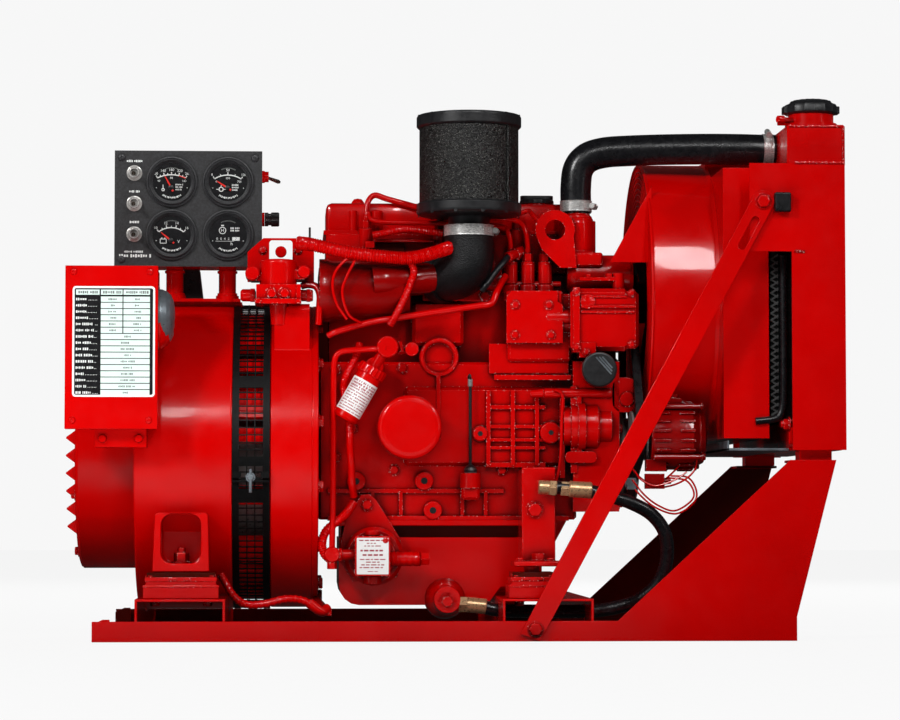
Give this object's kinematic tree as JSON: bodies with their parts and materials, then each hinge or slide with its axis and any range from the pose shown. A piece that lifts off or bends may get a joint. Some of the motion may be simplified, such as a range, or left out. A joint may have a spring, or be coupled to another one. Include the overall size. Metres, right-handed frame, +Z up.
{
  "type": "diesel generating set",
  "caption": "Open skid-mounted diesel generating set: generator, engine, radiator and gauge panel on a sheet-steel frame, with turning shafts, fan, switches and caps.",
  "frame": {"origin": "middle of the bounding box, on the floor under the skid", "axes": "+X from the generator to the radiator, -Y the service side with the gauges, +Z up"},
  "size_m": [0.922, 0.5026, 0.642],
  "materials": {
    "red_enamel": "glossy sprayed enamel over cast and sheet steel",
    "painted_rubber": "rubber mounts sprayed over with the red enamel",
    "black_steel": "semi-matt black powder coat",
    "black_plastic": "moulded black plastic",
    "pointer_red": "bright red pointer",
    "dial_print": "white print",
    "lens": "clear gauge lens",
    "bare_steel": "machined steel, lightly oiled",
    "zinc_steel": "zinc plated",
    "bright_chrome": "chromed",
    "brass": "machined brass",
    "copper_winding": "varnished windings and fan",
    "aluminium": "sheet aluminium",
    "black_rubber": "moulded black rubber"
  },
  "bodies": {
    "frame": {"side_frame_front": "red_enamel", "side_frame_rear": "red_enamel", "generator_cross_channel": "red_enamel", "engine_cross_channel": "red_enamel", "engine_bracket_front": "red_enamel", "generator_barrel": "red_enamel", "flywheel_housing": "red_enamel", "generator_end_bell": "red_enamel", "terminal_box": "red_enamel", "terminal_box_cover": "red_enamel", "panel_box": "red_enamel", "engine_block": "red_enamel", "cylinder_head": "red_enamel", "rocker_cover": "red_enamel", "oil_pan": "red_enamel", "oil_filter": "red_enamel", "fuel_filter": "red_enamel", "lift_pump": "red_enamel", "injection_pump": "red_enamel", "starter_motor": "red_enamel", "charging_alternator": "red_enamel", "fuel_solenoid": "red_enamel", "radiator_frame": "red_enamel", "fan_shroud": "red_enamel", "brace_front": "red_enamel", "brace_rear": "red_enamel", "exhaust_manifold": "red_enamel", "isolator_generator_front": "painted_rubber", "isolator_generator_rear": "painted_rubber", "isolator_engine_front": "painted_rubber", "isolator_engine_rear": "painted_rubber", "ventilation_band": "black_steel", "panel_face": "black_steel", "radiator_core": "black_steel", "air_cleaner": "black_steel", "gauge_water_temperature": "black_plastic", "gauge_oil_pressure": "black_plastic", "gauge_volts": "black_plastic", "gauge_engine_hours": "black_plastic", "intake_elbow": "black_rubber", "fan_belt": "black_rubber", "upper_hose": "black_rubber", "drain_hose": "black_rubber"},
    "crank_line": {"generator_rotor": "bare_steel", "crankshaft": "bare_steel"},
    "fan": {"cooling_fan": "black_steel"},
    "alternator_rotor": {"alternator_pulley": "bare_steel"},
    "water_temperature_needle": {"needle_water_temperature": "pointer_red"},
    "oil_pressure_needle": {"needle_oil_pressure": "pointer_red"},
    "volts_needle": {"needle_volts": "pointer_red"},
    "preheat_lever": {"toggle_preheat": "bright_chrome"},
    "start_lever": {"toggle_start": "bright_chrome"},
    "stop_lever": {"toggle_stop": "bright_chrome"},
    "side_lever": {"toggle_panel_side": "bright_chrome"},
    "fuse_cap_turn": {"fuse_cap": "black_plastic"},
    "radiator_cap_turn": {"radiator_cap": "black_steel"},
    "top_cap_turn": {"top_filler_cap": "black_plastic"},
    "side_cap_turn": {"side_filler_cap": "black_plastic"},
    "dipstick_rod": {"dipstick": "bare_steel"},
    "speed_arm": {"speed_lever": "red_enamel"}
  },
  "joints": [
    {"name": "crank_spin", "type": "hinge", "parent": "frame", "child": "crank_line", "pos_m": [0, 0, 0.218], "axis": [1, 0, 0], "continuous": true},
    {"name": "fan_spin", "type": "hinge", "parent": "frame", "child": "fan", "pos_m": [0.203, 0, 0.41], "axis": [1, 0, 0], "continuous": true},
    {"name": "alternator_spin", "type": "hinge", "parent": "frame", "child": "alternator_rotor", "pos_m": [0.212, -0.13, 0.24], "axis": [1, 0, 0], "continuous": true},
    {"name": "water_temperature_sweep", "type": "hinge", "parent": "frame", "child": "water_temperature_needle", "pos_m": [-0.339, -0.0942, 0.54], "axis": [0, 1, 0], "range_deg": [-24, 80], "stiffness_Nm_per_rad": 0.0003},
    {"name": "oil_pressure_sweep", "type": "hinge", "parent": "frame", "child": "oil_pressure_needle", "pos_m": [-0.2712, -0.0942, 0.54], "axis": [0, 1, 0], "range_deg": [0, 109], "stiffness_Nm_per_rad": 0.0003},
    {"name": "volts_sweep", "type": "hinge", "parent": "frame", "child": "volts_needle", "pos_m": [-0.339, -0.0942, 0.476], "axis": [0, 1, 0], "range_deg": [-2, 102], "stiffness_Nm_per_rad": 0.0003},
    {"name": "preheat_press", "type": "hinge", "parent": "frame", "child": "preheat_lever", "pos_m": [-0.3832, -0.096, 0.5576], "axis": [-1, 0, 0], "range_deg": [0, 20], "stiffness_Nm_per_rad": 0.02},
    {"name": "start_press", "type": "hinge", "parent": "frame", "child": "start_lever", "pos_m": [-0.3832, -0.096, 0.5208], "axis": [-1, 0, 0], "range_deg": [0, 20], "stiffness_Nm_per_rad": 0.02},
    {"name": "stop_press", "type": "hinge", "parent": "frame", "child": "stop_lever", "pos_m": [-0.3832, -0.096, 0.4838], "axis": [-1, 0, 0], "range_deg": [0, 20], "stiffness_Nm_per_rad": 0.02},
    {"name": "side_switch", "type": "hinge", "parent": "frame", "child": "side_lever", "pos_m": [-0.22595, -0.058, 0.5576], "axis": [0, -1, 0], "range_deg": [0, 40]},
    {"name": "fuse_cap_twist", "type": "hinge", "parent": "frame", "child": "fuse_cap_turn", "pos_m": [-0.22665, -0.058, 0.5056], "axis": [1, 0, 0], "range_deg": [0, 90]},
    {"name": "radiator_cap_twist", "type": "hinge", "parent": "frame", "child": "radiator_cap_turn", "pos_m": [0.427, -0.16, 0.624], "axis": [0, 0, 1], "range_deg": [0, 90]},
    {"name": "top_filler_cap_twist", "type": "hinge", "parent": "frame", "child": "top_cap_turn", "pos_m": [0.1088, -0.02, 0.529], "axis": [0, 0, 1], "range_deg": [0, 90]},
    {"name": "side_filler_cap_twist", "type": "hinge", "parent": "frame", "child": "side_cap_turn", "pos_m": [0.1727, -0.138, 0.319], "axis": [0, -1, 0], "range_deg": [0, 360]},
    {"name": "dipstick_pull", "type": "slide", "parent": "frame", "child": "dipstick_rod", "axis": [0, 0, 1], "range_m": [0, 0.09]},
    {"name": "speed_lever_swing", "type": "hinge", "parent": "frame", "child": "speed_arm", "pos_m": [0.1987, -0.124, 0.417], "axis": [0, 0, 1], "range_deg": [-20, 20]}
  ],
  "couplings": [
    {"joint": "fan_spin", "follows": "crank_spin", "ratio": 1.1224},
    {"joint": "alternator_spin", "follows": "crank_spin", "ratio": 1.8333}
  ]
}
